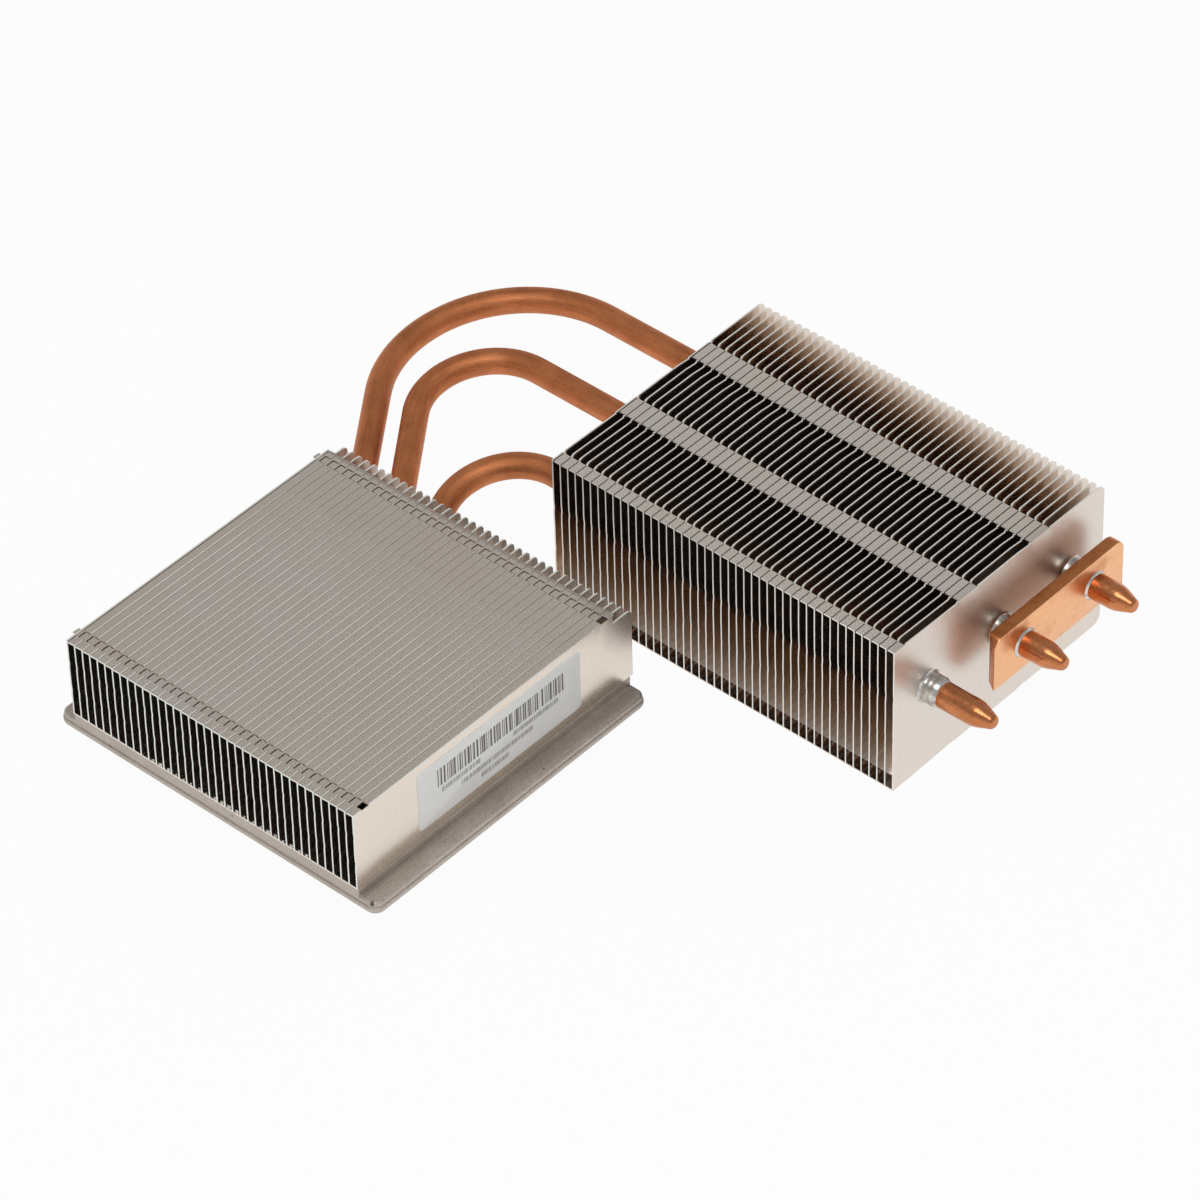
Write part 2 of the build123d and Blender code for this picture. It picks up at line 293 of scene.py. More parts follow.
# Heat pipes: three round copper tubes. One end is pinched and welded shut, the tube runs
# through the remote block and round a bend, and the other end is pressed flat and soldered into
# its groove in the base plate.
PIPE_RADIUS = 3.0
PIPE_SIDES = 40
PIPE_LEVEL = 8.6
PIPE_ROWS = (124.3, 100.7, 77.1)
PIPE_NAMES = ("rear", "middle", "front")
BEND_RADII = (31.1, 16.5, 15.5)
REMOTE_RIGHT = 93.42
END_STRAIGHT = 12.4
TIP = ((5.52, 0.4), (5.58, 0.8), (5.5, 1.15), (5.25, 1.45), (4.8, 1.66), (4.0, 1.93),
       (3.1, 2.26), (2.2, 2.58), (1.4, 2.82), (0.7, 2.95), (0.0, 3.0))  # distance on, radius
BEND_STEPS = 36
FLAT_RADIUS = 1.6
FLAT_STRAIGHT = pi * (PIPE_RADIUS - FLAT_RADIUS)
FLAT_LEAD = 4.0
PRESS_LENGTH = 5.0
PRESS_STEPS = 8
FLAT_LENGTH = 75.0


def pipe_stations(index):
    """Stations along a pipe: centre, direction, radius, straight width between rounded sides."""
    tip_start = Vector((REMOTE_RIGHT + END_STRAIGHT, PIPE_ROWS[index], PIPE_LEVEL))
    corner = run_point(index, PIPE_ROWS[index], PIPE_LEVEL)
    press_end = run_point(index, BASE_HALF_DEPTH, BASE_TOP - FLAT_RADIUS) - RUN * FLAT_LEAD
    press_start = press_end - RUN * PRESS_LENGTH
    inward = (corner - tip_start).normalized()
    onward = (press_start - corner).normalized()
    turn = inward.angle(onward)
    reach = BEND_RADII[index] * tan(turn / 2)
    stations = [(tip_start - inward * far, inward, radius, 0) for far, radius in TIP]
    straight = (corner - inward * reach) - tip_start
    for step in range(1, 24):
        stations.append((tip_start + straight * step / 24, inward, PIPE_RADIUS, 0))
    outward = (onward - inward * cos(turn)).normalized()
    centre = corner - inward * reach + outward * BEND_RADII[index]
    for step in range(BEND_STEPS + 1):
        swing = turn * step / BEND_STEPS
        spoke = inward * sin(swing) - outward * cos(swing)
        heading = inward * cos(swing) + outward * sin(swing)
        stations.append((centre + spoke * BEND_RADII[index], heading, PIPE_RADIUS, 0))
    leg_start = stations[-1][0]
    for step in range(1, 10):
        stations.append((leg_start.lerp(press_start, step / 10), onward, PIPE_RADIUS, 0))
    for step in range(PRESS_STEPS + 1):
        share = step / PRESS_STEPS
        pressed = share * share * (3 - 2 * share)
        radius = PIPE_RADIUS + (FLAT_RADIUS - PIPE_RADIUS) * pressed
        stations.append((press_start.lerp(press_end, share), onward.lerp(RUN, pressed).normalized(),
                         radius, FLAT_STRAIGHT * pressed))
    for far in (FLAT_LEAD, FLAT_LEAD + FLAT_LENGTH / 2, FLAT_LEAD + FLAT_LENGTH - 0.4):
        stations.append((press_end + RUN * far, RUN, FLAT_RADIUS, FLAT_STRAIGHT))
    stations.append((press_end + RUN * (FLAT_LEAD + FLAT_LENGTH), RUN, FLAT_RADIUS - 0.35, FLAT_STRAIGHT))
    return stations


CORNERS = ("Outside", "Inside", "Still inside", "Outside again")
EVERYWHERE = (-9000, -8000, 8000, 9000)


def limits_group():
    """A mask that is 1 between two inner corners and fades to 0 at two outer ones."""
    tree, given, out = new_group(
        "place_limits", [(name, "NodeSocketVector", None) for name in ("Place",) + CORNERS],
        [("Mask", "NodeSocketFloat")])
    low, high = [node(tree, "ShaderNodeMapRange", (
        (6, given["Place"]), (7, given[outer]), (8, given[inner]), (9, (0, 0, 0)), (10, (1, 1, 1))),
        data_type="FLOAT_VECTOR").outputs["Vector"] for outer, inner in (CORNERS[:2], CORNERS[:1:-1])]
    both = node(tree, "ShaderNodeVectorMath", ((0, low), (1, high)), operation="MULTIPLY").outputs[0]
    x, y, z = node(tree, "ShaderNodeSeparateXYZ", ((0, both),)).outputs
    feed(tree, out["Mask"], math(tree, "MULTIPLY", math(tree, "MULTIPLY", x, y), z))
    return tree


place_limits = limits_group()


def within(tree, limits):
    """1 where the place lies within limits, each an axis with four heights in millimetres:
    outside, inside, still inside, outside again."""
    corners = [(name, [limits.get(axis, EVERYWHERE)[number] * MM for axis in "XYZ"])
               for number, name in enumerate(CORNERS)]
    return node(tree, "ShaderNodeGroup", [("Place", place_on(tree))] + corners,
                node_tree=place_limits).outputs["Mask"]


def drawn_copper():
    """Drawn tube, handled and lightly tarnished: long faint draw lines, fine scuffs, brown
    clouds. Between the remote sheets it is painted nearly black as shade, and its tips are shiny."""
    material, tree, shader = new_material("drawn_copper")
    skin = node(tree, "ShaderNodeAttribute", attribute_name="skin").outputs["Vector"]
    lines = grain(tree, stretch=(1, 1, 0.06), speckle=0.00045, patches=0.004, place=skin)
    clouds = grain(tree, speckle=0.0005, patches=0.007)
    colour = blend(tree, clouds["Patches"], (0.60, 0.225, 0.09, 1), (0.80, 0.32, 0.14, 1))
    colour = tinted(tree, colour, lines["Speckle"], (0.80, 0.74, 0.70, 1), WHITE)
    colour = tinted(tree, colour, clouds["Speckle"], (0.84, 0.80, 0.76, 1), WHITE)
    # Painted shade: inside the remote block the copper is coloured nearly black.
    shaded_in_remote_block = within(tree, {"X": (-1.8, -1.2, 92.8, 93.4), "Y": (60.0, 61.0, 140.0, 141.0)})
    colour = blend(tree, shaded_in_remote_block, colour, (0.045, 0.02, 0.012, 1))
    tip = within(tree, {"X": (97.5, 98.5, 150.0, 151.0)})
    rough = ramp(tree, lines["Patches"], 0, 1, ramp(tree, tip, 0, 1, 0.50, 0.2),
                 ramp(tree, tip, 0, 1, 0.62, 0.34))
    dents = node(tree, "ShaderNodeTexNoise", (("Vector", skin), ("Scale", 520.0), ("Detail", 1.0)))
    deep = ramp(tree, tip, 0, 1, 1.5, 9.0)
    relief = math(tree, "MULTIPLY_ADD", dents.outputs["Fac"], deep, lines["Height"])
    surface(tree, shader, colour, rough, relief, 0.25, 0.00008)
    return material


def between(lower, upper, size):
    """Faces between two rings of points, whose first numbers are lower and upper."""
    return [(lower + step, lower + (step + 1) % size, upper + (step + 1) % size, upper + step)
            for step in range(size)]


copper = drawn_copper()
for index, name in enumerate(PIPE_NAMES):
    points, faces, skin = [], [], []
    travelled = 0.0
    stations = pipe_stations(index)
    for number, (centre, heading, radius, flat) in enumerate(stations):
        level_side = Vector((0, 0, 1)).cross(heading).normalized()
        upward = heading.cross(level_side)
        if number:
            travelled += (centre - stations[number - 1][0]).length
            faces += between(len(points) - PIPE_SIDES, len(points), PIPE_SIDES)
        for side in range(PIPE_SIDES):
            turn = 2 * pi * (side + 0.5) / PIPE_SIDES
            width = copysign(flat / 2, cos(turn)) + radius * cos(turn)
            points.append(centre + level_side * width + upward * radius * sin(turn))
            skin += (PIPE_RADIUS * cos(turn) * MM, PIPE_RADIUS * sin(turn) * MM, travelled * MM)
    faces += [range(PIPE_SIDES)[::-1], range(len(points) - PIPE_SIDES, len(points))]
    pipe = make_piece(f"dressed_pipe_{name}", points, faces, copper, sharp=180)
    pipe.data.attributes.new("skin", "FLOAT_VECTOR", "POINT").data.foreach_set("vector", skin)
    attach(pipe, "root")
    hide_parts(f"heat_pipe_{name}")


# Processor fins: 38 sheets of thin rolled aluminium, pressed to a C and set side by side, so
# that their flanges close to a roof and a floor. Tabs on each top flange lock into notches in
# the next sheet's fold, in two zipper rows. The floor is soldered to the boss.
SHEET = 0.4
CPU_COUNT = 38
CPU_PITCH = 2.2
CPU_LEFT = -40.9
CPU_FRONT = -42.2
CPU_HEIGHT = 21.0
CPU_FLANGE = 79.6
CPU_DEPTH = 85.1
CPU_SEAM = 0.08
CPU_FOLD = 0.26
FLANGE_FALL = 0.14       # each roof flange's free edge lies this far under the fold beside it
TAIL_TOP = 18.4
TAIL_ROUND = 1.6
ZIP_ROWS = (3.6, 76.6)
TAB_FRONT = 0.88
TAB_REAR = 0.95
TAB_REACH = 1.3
TAB_LIFT = 0.1
NOTCH_HALF_WIDTH = 1.1
NOTCH_LEFT = -1.1
FOLD_STEPS = 5
RELIEF_SLOT = 0.25
NICK_BELOW_TOP = (6.7, 13.6)
NICK = 0.16
FOLD_HIGHLIGHT = 0.9          # share of the pale cut-edge colour painted on the roof's folds as a highlight
# The painted highlight on the folds fades towards this depth, where a tenth of it is left.
FOLD_HIGHLIGHT_UNTIL = 80.0


def fold_chain(height, fold, reach, top, fall=0.0, thick=SHEET):
    """Cross-section of a top (or bottom) flange as (x, z), from the web's outer face over the
    fold to the flange's edge, which lies a little deeper by fall, and back under it to the web's
    inner face. Then come the places of the fold's end and of the outside's end."""
    flip = 1 if top else -1
    level = height if top else 0
    inner = max(fold - thick, 0.06)
    deeper = fall * (thick - fold - NOTCH_LEFT) / (thick - fold + reach)
    outside = []
    for step in range(FOLD_STEPS + 1):
        turn = pi / 2 * step / FOLD_STEPS
        outside.append((thick - fold + fold * cos(turn), level - flip * fold * (1 - sin(turn))))
    outside += [(NOTCH_LEFT, level - flip * deeper), (-reach + 0.06, level - flip * fall),
                (-reach, level - flip * (fall + 0.06))]
    inside = [(-reach, level - flip * (fall + thick - 0.04)), (-reach + 0.04, level - flip * (fall + thick)),
              (NOTCH_LEFT, level - flip * (deeper + thick))]
    for turn in (pi / 2, pi / 4, 0):
        inside.append((-inner + inner * cos(turn), level - flip * (thick + inner * (1 - sin(turn)))))
    return outside + inside, FOLD_STEPS + 1, len(outside)


def encloses(ring, point):
    """Whether a ring of (y, z) has the point inside."""
    crossings = 0
    for number, (y, z) in enumerate(ring):
        last_y, last_z = ring[number - 1]
        if (z > point.y) != (last_z > point.y):
            crossings += point.x < y + (last_y - y) * (point.y - z) / (last_z - z)
    return crossings % 2 == 1


def web_triangles(outline, holes, spacing):
    """The plane of a web as triangles: an outline and round holes as (y, z) rings, with loose
    points between them so that no triangle is a sliver."""
    rings = [outline] + holes
    flat = [Vector(point) for ring in rings for point in ring]
    edges, start = [], 0
    for ring in rings:
        edges += [(start + step, start + (step + 1) % len(ring)) for step in range(len(ring))]
        start += len(ring)
    (low_y, high_y), (low_z, high_z) = [(min(values), max(values)) for values in zip(*outline)]
    across, up = ceil((high_y - low_y) / spacing), ceil((high_z - low_z) / spacing)
    rounds = [(sum(map(Vector, hole), Vector((0, 0))) / len(hole), hole[0]) for hole in holes]
    rounds = [(middle, (Vector(edge) - middle).length) for middle, edge in rounds]
    for i in range(1, across):
        for j in range(1, up):
            place = Vector((low_y + (high_y - low_y) * i / across, low_z + (high_z - low_z) * j / up))
            clear = all((place - middle).length > radius + 1.2 for middle, radius in rounds)
            inside = min((Vector(p) - place).length for p in outline) > spacing * 0.35
            step = high_z < 30 and place.x > low_y + CPU_FLANGE - 1 and place.y > TAIL_TOP - 1.5
            if clear and inside and place.y < high_z - 1 and not step:
                flat.append(place)
    made = delaunay_2d_cdt(flat, edges, [], 1, 0.0001, True)
    triangles = []
    for triangle in made[2]:
        middle = sum((made[0][corner] for corner in triangle), Vector((0, 0))) / 3
        clear = all((middle - hole).length > radius * 0.98 for hole, radius in rounds)
        if clear and encloses(outline, middle):
            triangles.append([made[3][corner][0] for corner in triangle])
    return flat, triangles, [len(ring) for ring in rings]


def thin_sheet(outline, holes, bands, sway, thick=SHEET):
    """A folded sheet's points and faces in its own place, and each face's share of the pale
    cut-edge colour: 1 where it was cut, and less on the exposed shoulders of the roof's folds,
    where it is a painted highlight. outline is a list of (y, z outside, z inside); bands are
    (first, last, chain, notches, tabs), the outline points between which a flange grows;
    sway(y, z) is how far the web leans sideways there."""
    flat, triangles, ring_sizes = web_triangles([(y, outer) for y, outer, inner in outline], holes, 6.0)
    count = len(flat)
    points = [(thick + sway(y, z), y, z) for y, z in flat]
    for number, (y, z) in enumerate(flat):
        if number < len(outline):
            z = outline[number][2]
        points.append((sway(y, z), y, z))
    faces, bright = [], {}
    for triangle in triangles:
        faces += [triangle, [count + corner for corner in reversed(triangle)]]
    start = 0
    for size in ring_sizes:
        for step in range(size):
            here, after = start + step, start + (step + 1) % size
            if start == 0:
                if any(first <= step < final for first, final, *rest in bands):
                    continue
                bright[len(faces)] = 1
            faces.append((here, after, count + after, count + here))
        start += size
    for first, final, (chain, fold_end, outside), notches, tabs in bands:
        # One chain of points a station; its two ends are the web's own points.
        stations = []
        for number in range(first, final + 1):
            y, z = outline[number][:2]
            grown = [(x + sway(y, z), y, height) for x, height in chain[1:-1]]
            stations.append([number, *range(len(points), len(points) + len(grown)), count + number])
            points += grown
        middles = [(outline[number][0] + outline[number + 1][0]) / 2 for number in range(first, final)]
        notched = [any(low < middle < high for low, high in notches) for middle in middles]
        tabbed = [any(low < middle < high for low, high in tabs) for middle in middles]
        shoulder = chain[outside - 2][1] < chain[FOLD_STEPS][1] - 0.01
        tip, notch_end = outside - 1, outside + 2
        for step, (notch, tab) in enumerate(zip(notched, tabbed)):
            here, after = stations[step], stations[step + 1]
            for link in range(len(chain) - 1):
                if (notch and not fold_end <= link < notch_end) or (tab and link == tip):
                    continue
                # The exposed shoulder of a fold that falls gets a painted highlight.
                if shoulder and link < FOLD_STEPS - 1:
                    bright[len(faces)] = FOLD_HIGHLIGHT
                faces.append((here[link], here[link + 1], after[link + 1], after[link]))
            if notch:
                faces.append((here[0], after[0], after[-1], here[-1]))
                faces.append((here[fold_end], after[fold_end], after[notch_end], here[notch_end]))
            if tab:
                ends = []
                for row, lift in ((here, 0.0), (after, TAB_LIFT)):
                    x, y, z = points[row[tip]]
                    ends.append((row[tip], len(points), len(points) + 1, row[tip + 1]))
                    points += [(x - TAB_REACH, y, z + lift), (x - TAB_REACH, y, z - thick * 0.8 + lift)]
                near, far = ends
                faces += [(near[0], near[1], far[1], far[0]), (near[3], near[2], far[2], far[3]),
                          (near[1], near[2], far[2], far[1]), near]
                bright[len(faces)] = 1
                faces.append(far)
        for number, row in enumerate(stations):
            if number in (0, final - first):
                if chain[0][1] > 1:
                    bright[len(faces)] = 1
                faces.append(row)
            elif notched[number - 1] != notched[number]:
                faces.append(row[:fold_end + 1] + row[notch_end:])
    return points, faces, [bright.get(number, 0) for number in range(len(faces))]


def rolled_aluminium(name, tint, roughness, stains, edges, webs=None, shade_patch=None, shaded_tails=None):
    """Rolled sheet: a fine speckle drawn out along the rolling direction, faint warm stains, and
    pale frosty edges where it was cut; the same pale colour on the roof's folds is a painted
    highlight. shade_patch is the place, size and colour of a patch of painted shade; webs are
    the limits of the smooth webs between the sheets and the darker colour painted on them as
    shade, and shaded_tails the limits and colour of painted shade on the tails between them."""
    material, tree, shader = new_material(name)
    rolled = grain(tree, stretch=(1, 1, 0.25), speckle=0.00022, patches=0.01)
    stain = grain(tree, stretch=(1, 1, 0.5), speckle=0.002, patches=0.022)
    dark = tuple(0.88 * value for value in tint)
    colour = blend(tree, rolled["Speckle"], dark + (1,), tint + (1,))
    colour = tinted(tree, colour, stain["Patches"], WHITE, stains)
    rough = ramp(tree, rolled["Speckle"], 0, 1, roughness * 0.9, roughness * 1.1)
    relief = 0.045
    if shade_patch:
        # A patch of painted shade round a point, fading out at a ragged edge.
        centre, reach, patch_colour = shade_patch
        far = node(tree, "ShaderNodeVectorMath", ((0, place_on(tree)), (1, Vector(centre) * MM)),
                   operation="DISTANCE").outputs["Value"]
        patch_edge = math(tree, "MULTIPLY_ADD", stain["Patches"], 0.004, far)
        colour = blend(tree, ramp(tree, patch_edge, reach * MM, reach * 0.45 * MM), colour, patch_colour)
    if webs:
        # The webs between the sheets are smoother, and a darker colour is painted on them as shade.
        smooth = within(tree, webs[0])
        colour = blend(tree, smooth, colour, webs[1])
        rough = ramp(tree, smooth, 0, 1, rough, 0.09)
        relief = ramp(tree, smooth, 0, 1, relief, 0.0)
    # Painted shade: the tails between the sheets get a darker colour.
    if shaded_tails:
        colour = blend(tree, within(tree, shaded_tails[0]), colour, shaded_tails[1])
    # cut gives the edges their pale cut colour, and paints a highlight on the roof's folds.
    cut_edge_and_highlight = node(tree, "ShaderNodeAttribute", attribute_name="cut").outputs["Fac"]
    feed(tree, shader.inputs["Metallic"], ramp(tree, cut_edge_and_highlight, 0, 1, 0.985, 0.6))
    surface(tree, shader, blend(tree, cut_edge_and_highlight, colour, edges), ramp(tree, cut_edge_and_highlight, 0, 1, rough, 0.5),
            rolled["Height"], relief, 0.00004)
    return material


def even(start, end, step):
    """Evenly spaced values from start up to, but not with, end."""
    count = max(1, ceil((end - start) / step))
    return [start + (end - start) * number / count for number in range(count)]


def cpu_outline(folded):
    """The edge of a processor sheet's web from its lower front corner round to it again, with
    the places of its flanges."""
    low_out, low_in = (CPU_FOLD, SHEET + 0.1) if folded else (0.0, 0.0)
    high_out, high_in = CPU_HEIGHT - low_out, CPU_HEIGHT - low_in
    outline = [(y, low_out, low_in) for y in even(0, CPU_FLANGE, 8)] + [(CPU_FLANGE, low_out, low_in)]
    bottom = (0, len(outline) - 1)
    outline += [(CPU_FLANGE + RELIEF_SLOT, low_out, low_in), (CPU_FLANGE + RELIEF_SLOT, 0.02, 0.02)]
    outline += [(CPU_DEPTH, 0.02, 0.02)]
    outline += [(CPU_DEPTH, z, z) for z in even(3, TAIL_TOP - TAIL_ROUND, 4)]
    for step in range(6):
        turn = pi / 2 * step / 5
        z = TAIL_TOP - TAIL_ROUND + TAIL_ROUND * sin(turn) ** 0.8
        outline.append((CPU_DEPTH - TAIL_ROUND + TAIL_ROUND * cos(turn) ** 0.8, z, z))
    outline.append((CPU_FLANGE - 0.4, TAIL_TOP, TAIL_TOP))
    outline.append((CPU_FLANGE - 0.5, CPU_HEIGHT - 0.8, CPU_HEIGHT - 0.8))
    first = len(outline)
    marks = [0, CPU_FLANGE] + even(8, 72, 8)
    for row in ZIP_ROWS:
        marks += [row - NOTCH_HALF_WIDTH, row - TAB_FRONT, row + TAB_REAR, row + NOTCH_HALF_WIDTH]
    outline += [(y, high_out, high_in) for y in sorted(marks, reverse=True)]
    top = (first, len(outline) - 1)
    for z in even(0.8, CPU_HEIGHT - 1.2, 1.1)[::-1]:
        near = min(abs(CPU_HEIGHT - below - z) for below in NICK_BELOW_TOP)
        outline.append((NICK * max(0.0, 1 - near / 0.7), z, z))
    # The roof lies lower by the lift of the tabs, which then end at the block's full height.
    outline = [(y, *(z - TAB_LIFT if z > TAIL_TOP + 1 else z for z in heights)) for y, *heights in outline]
    return outline, top, bottom


random.seed(38)
# Painted shade: the webs between the sheets, a patch at the upper rear corner of the right face, and the
# tails between the sheets get darker colours.
fin_aluminium = rolled_aluminium(
    "rolled_aluminium_processor", (0.83, 0.762, 0.69), 0.28, (1.0, 0.955, 0.90, 1), (0.92, 0.93, 0.87, 1),
    webs=({"X": (-41.5, -41.2, 40.5, 40.8), "Y": (-50.0, -49.0, 36.4, 36.8), "Z": (4.0, 4.1, 25.1, 25.3)},
          (0.78, 0.71, 0.645, 1)),
    shade_patch=((40.9, 43.5, 23.0), 13.0, (0.45, 0.395, 0.35, 1)),
    shaded_tails=({"X": (-42.0, -41.0, 40.3, 40.45), "Y": (36.4, 36.8, 50.0, 51.0)}, (0.60, 0.52, 0.455, 1)))
notches = [(row - NOTCH_HALF_WIDTH, row + NOTCH_HALF_WIDTH) for row in ZIP_ROWS]
tabs = [(row - TAB_FRONT, row + TAB_REAR) for row in ZIP_ROWS]
reach = CPU_PITCH - SHEET - CPU_SEAM
height = CPU_HEIGHT - TAB_LIFT
points, faces, cut = [], [], []
for index in range(CPU_COUNT):
    outline, top, bottom = cpu_outline(index > 0)
    bands = []
    if index > 0:
        bands = [(*bottom, fold_chain(height, CPU_FOLD, reach, False), [], []),
                 (*top, fold_chain(height, CPU_FOLD, reach, True, FLANGE_FALL), notches, tabs)]
    phase = random.uniform(0, 40)
    depth = random.uniform(0.02, 0.06)

    def sway(y, z):
        middle = sin(pi * min(max(z / CPU_HEIGHT, 0), 1))
        return 2 * depth * middle * noise.noise(Vector((phase, y * 0.12, z * 0.22)))

    sheet_points, sheet_faces, sheet_cut = thin_sheet(outline, [], bands, sway)
    for face, share in zip(sheet_faces, sheet_cut):
        # The painted fold highlight fades towards the rear.
        if share == FOLD_HIGHLIGHT:
            share *= min(1.0, max(0.1, (FOLD_HIGHLIGHT_UNTIL - sheet_points[face[0]][1]) / 30))
        cut.append(share)
    start = len(points)
    left = CPU_LEFT + index * CPU_PITCH
    points += [(x + left, y + CPU_FRONT, z + BASE_TOP) for x, y, z in sheet_points]
    faces += [[start + corner for corner in face] for face in sheet_faces]
processor_fins = make_piece("dressed_processor_fins", points, faces, fin_aluminium, cut=cut)
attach(processor_fins, "root")
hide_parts("cpu_fins")


# Label: a printed film stuck to the processor block's last sheet, its corners rounded by the
# die that cut it. It carries only plain bars.
LABEL_X = 40.9
LABEL_START = (-23.5, 7.3)
LABEL_SIZE = (50.0, 16.0)
LABEL_THICK = 0.1
LABEL_CORNER = 1.2
LABEL_EDGE = 0.05
DASHES = ((0.40, 0.48, 0.14, 0.38), (0.40, 0.48, 0.58, 0.86), (0.26, 0.34, 0.26, 0.70),
          (0.12, 0.20, 0.38, 0.55))     # low, high, first, last, as shares of the label


def rounded_outline(low, size, corners, steps, inset=0.0):
    """A rectangle with rounded corners as a ring of (y, z): lower rear, upper rear, upper front,
    lower front. inset draws it in on all sides."""
    ring = []
    for number, (y, z) in enumerate(((1, 0), (1, 1), (0, 1), (0, 0))):
        corner = corners[number]
        middle = (low[0] + y * size[0] + (corner if y == 0 else -corner),
                  low[1] + z * size[1] + (corner if z == 0 else -corner))
        for step in range(steps + 1):
            turn = pi / 2 * (number - 1 + step / steps)
            ring.append((middle[0] + (corner - inset) * cos(turn), middle[1] + (corner - inset) * sin(turn)))
    return ring


def stacked(levels):
    """Points and faces of a plate that faces +X, from (x, ring of (y, z)) pairs."""
    points = [(x, y, z) for x, ring in levels for y, z in ring]
    size = len(levels[0][1])
    last_ring = len(points) - size
    faces = [range(size)[::-1], range(last_ring, len(points))]
    for start in range(0, last_ring, size):
        faces += between(start, start + size, size)
    return points, faces


def printed_film():
    """White film with a satin face; a band of plain bars and rows of grey dashes are printed."""
    material, tree, shader = new_material("printed_film", metallic=0.0)
    spot = node(tree, "ShaderNodeSeparateXYZ", (("Vector", place_on(tree)),))
    along = ramp(tree, spot.outputs["Y"], LABEL_START[0] * MM, (LABEL_START[0] + LABEL_SIZE[0]) * MM)
    up = ramp(tree, spot.outputs["Z"], LABEL_START[1] * MM, (LABEL_START[1] + LABEL_SIZE[1]) * MM)

    def window(value, low, high):
        return math(tree, "MULTIPLY", math(tree, "GREATER_THAN", value, low),
                    math(tree, "LESS_THAN", value, high))

    def strokes(scale, detail, threshold, low, high, first, final):
        wide = node(tree, "ShaderNodeTexNoise", (("W", along), ("Scale", scale), ("Detail", detail)),
                    noise_dimensions="1D").outputs["Fac"]
        band = math(tree, "MULTIPLY", window(up, low, high), window(along, first, final))
        return math(tree, "MULTIPLY", band, window(wide, threshold, 1.0))

    ink = strokes(95.0, 2.0, 0.5, 0.53, 0.83, 0.12, 0.9)
    for row in DASHES:
        ink = math(tree, "MAXIMUM", ink, math(tree, "MULTIPLY", strokes(160.0, 1.0, 0.42, *row), 0.55))
    paper = grain(tree, speckle=0.0004, patches=0.006)
    colour = blend(tree, paper["Patches"], (0.88, 0.88, 0.86, 1), (0.95, 0.94, 0.91, 1))
    colour = blend(tree, ink, colour, (0.09, 0.07, 0.075, 1))
    surface(tree, shader, colour, 0.4, paper["Height"], 0.08, 0.00005)
    return material


levels = []
for far, inset in ((0, 0), (LABEL_THICK - LABEL_EDGE, 0), (LABEL_THICK - LABEL_EDGE * 0.3, LABEL_EDGE * 0.3),
                   (LABEL_THICK, LABEL_EDGE)):
    low = [value + inset for value in LABEL_START]
    size = [value - 2 * inset for value in LABEL_SIZE]
    levels.append((LABEL_X + far, rounded_outline(low, size, [LABEL_CORNER] * 4, 6)))
label = make_piece("dressed_label", *stacked(levels), printed_film())
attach(label, "root")
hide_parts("label")


# Remote fins: 45 taller sheets on the round part of the pipes. Each has short flanges in three
# bands, above and below, that space it from the next; the rest of it is open. Its rear corners
# are rounded and the pipes pass through punched holes.
REMOTE_COUNT = 45
REMOTE_PITCH = 2.155
REMOTE_LEFT = -1.8
REMOTE_FRONT = 65.7
REMOTE_DEPTH = 70.0
REMOTE_HEIGHT = 39.4
REMOTE_FOOT = -13.6
REMOTE_FOLD = 0.14
REMOTE_SEAM = 0.26
REMOTE_ROUND = 2.2
BANDS = ((0.0, 3.3), (21.3, 27.1), (45.3, 51.3))
NUB_LENGTH = 0.5
NUB_DEPTH = 0.35
HOLE_RADIUS = 3.05
HOLE_SIDES = 24
REMOTE_NICKS = (13.0, 24.5)     # below the top
REMOTE_NICK = 0.22
HOOK = 0.3
HOOK_LENGTH = 0.55
REMOTE_SHOWN = 0.33      # a sheared sheet looks thinner than the 0.4 that it is cut from


def remote_outline(folded):
    """The edge of a remote sheet's web, with the places of its short flanges."""
    low_out, low_in = (REMOTE_FOLD, SHEET + 0.06) if folded else (0.0, 0.0)
    run = [(y, 0.0) for y in (31.0, 36.0, 41.0, 56.0, 61.0, 66.0)]
    for start, end in BANDS:
        if start > 0:
            run += [(start - NUB_LENGTH - 0.3, NUB_DEPTH), (start - NUB_LENGTH - 0.3, 0.0),
                    (start - 0.3, 0.0), (start - 0.3, NUB_DEPTH)]
        run += [(start, None), (end, None), (end + RELIEF_SLOT, None), (end + RELIEF_SLOT, 0.0),
                (end + RELIEF_SLOT + 0.5, 0.0), (end + RELIEF_SLOT + 1.2, 0.0)]
    run.sort(key=lambda point: point[0])
    marks = [number for number, (y, drop) in enumerate(run) if y in sum(BANDS, ())]
    outline = [(y, low_out, low_in) if drop is None else (y, drop, drop) for y, drop in run]
    rounded = []
    for step in range(6):
        turn = pi / 2 * step / 5
        rounded.append((REMOTE_ROUND * sin(turn), REMOTE_ROUND * (1 - cos(turn))))
    outline += [(REMOTE_DEPTH - REMOTE_ROUND + y, z, z) for y, z in rounded]
    outline += [(REMOTE_DEPTH, z, z) for z in even(7, 37, 6)]
    outline += [(REMOTE_DEPTH - REMOTE_ROUND + y, REMOTE_HEIGHT - z, REMOTE_HEIGHT - z)
                for y, z in reversed(rounded)]
    for y, drop in reversed(run):
        high_out, high_in = (low_out, low_in) if drop is None else (drop, drop)
        outline.append((y, REMOTE_HEIGHT - high_out, REMOTE_HEIGHT - high_in))
    final = len(outline) - 1
    bottom = list(zip(marks[::2], marks[1::2]))
    top = [(final - high, final - low) for low, high in bottom]
    for z in even(1.2, REMOTE_HEIGHT - 1.6, 1.5)[::-1]:
        near = min(abs(REMOTE_HEIGHT - below - z) for below in REMOTE_NICKS)
        outline.append((REMOTE_NICK * max(0.0, 1 - near / 0.8), z, z))
    return outline, top, bottom


random.seed(45)
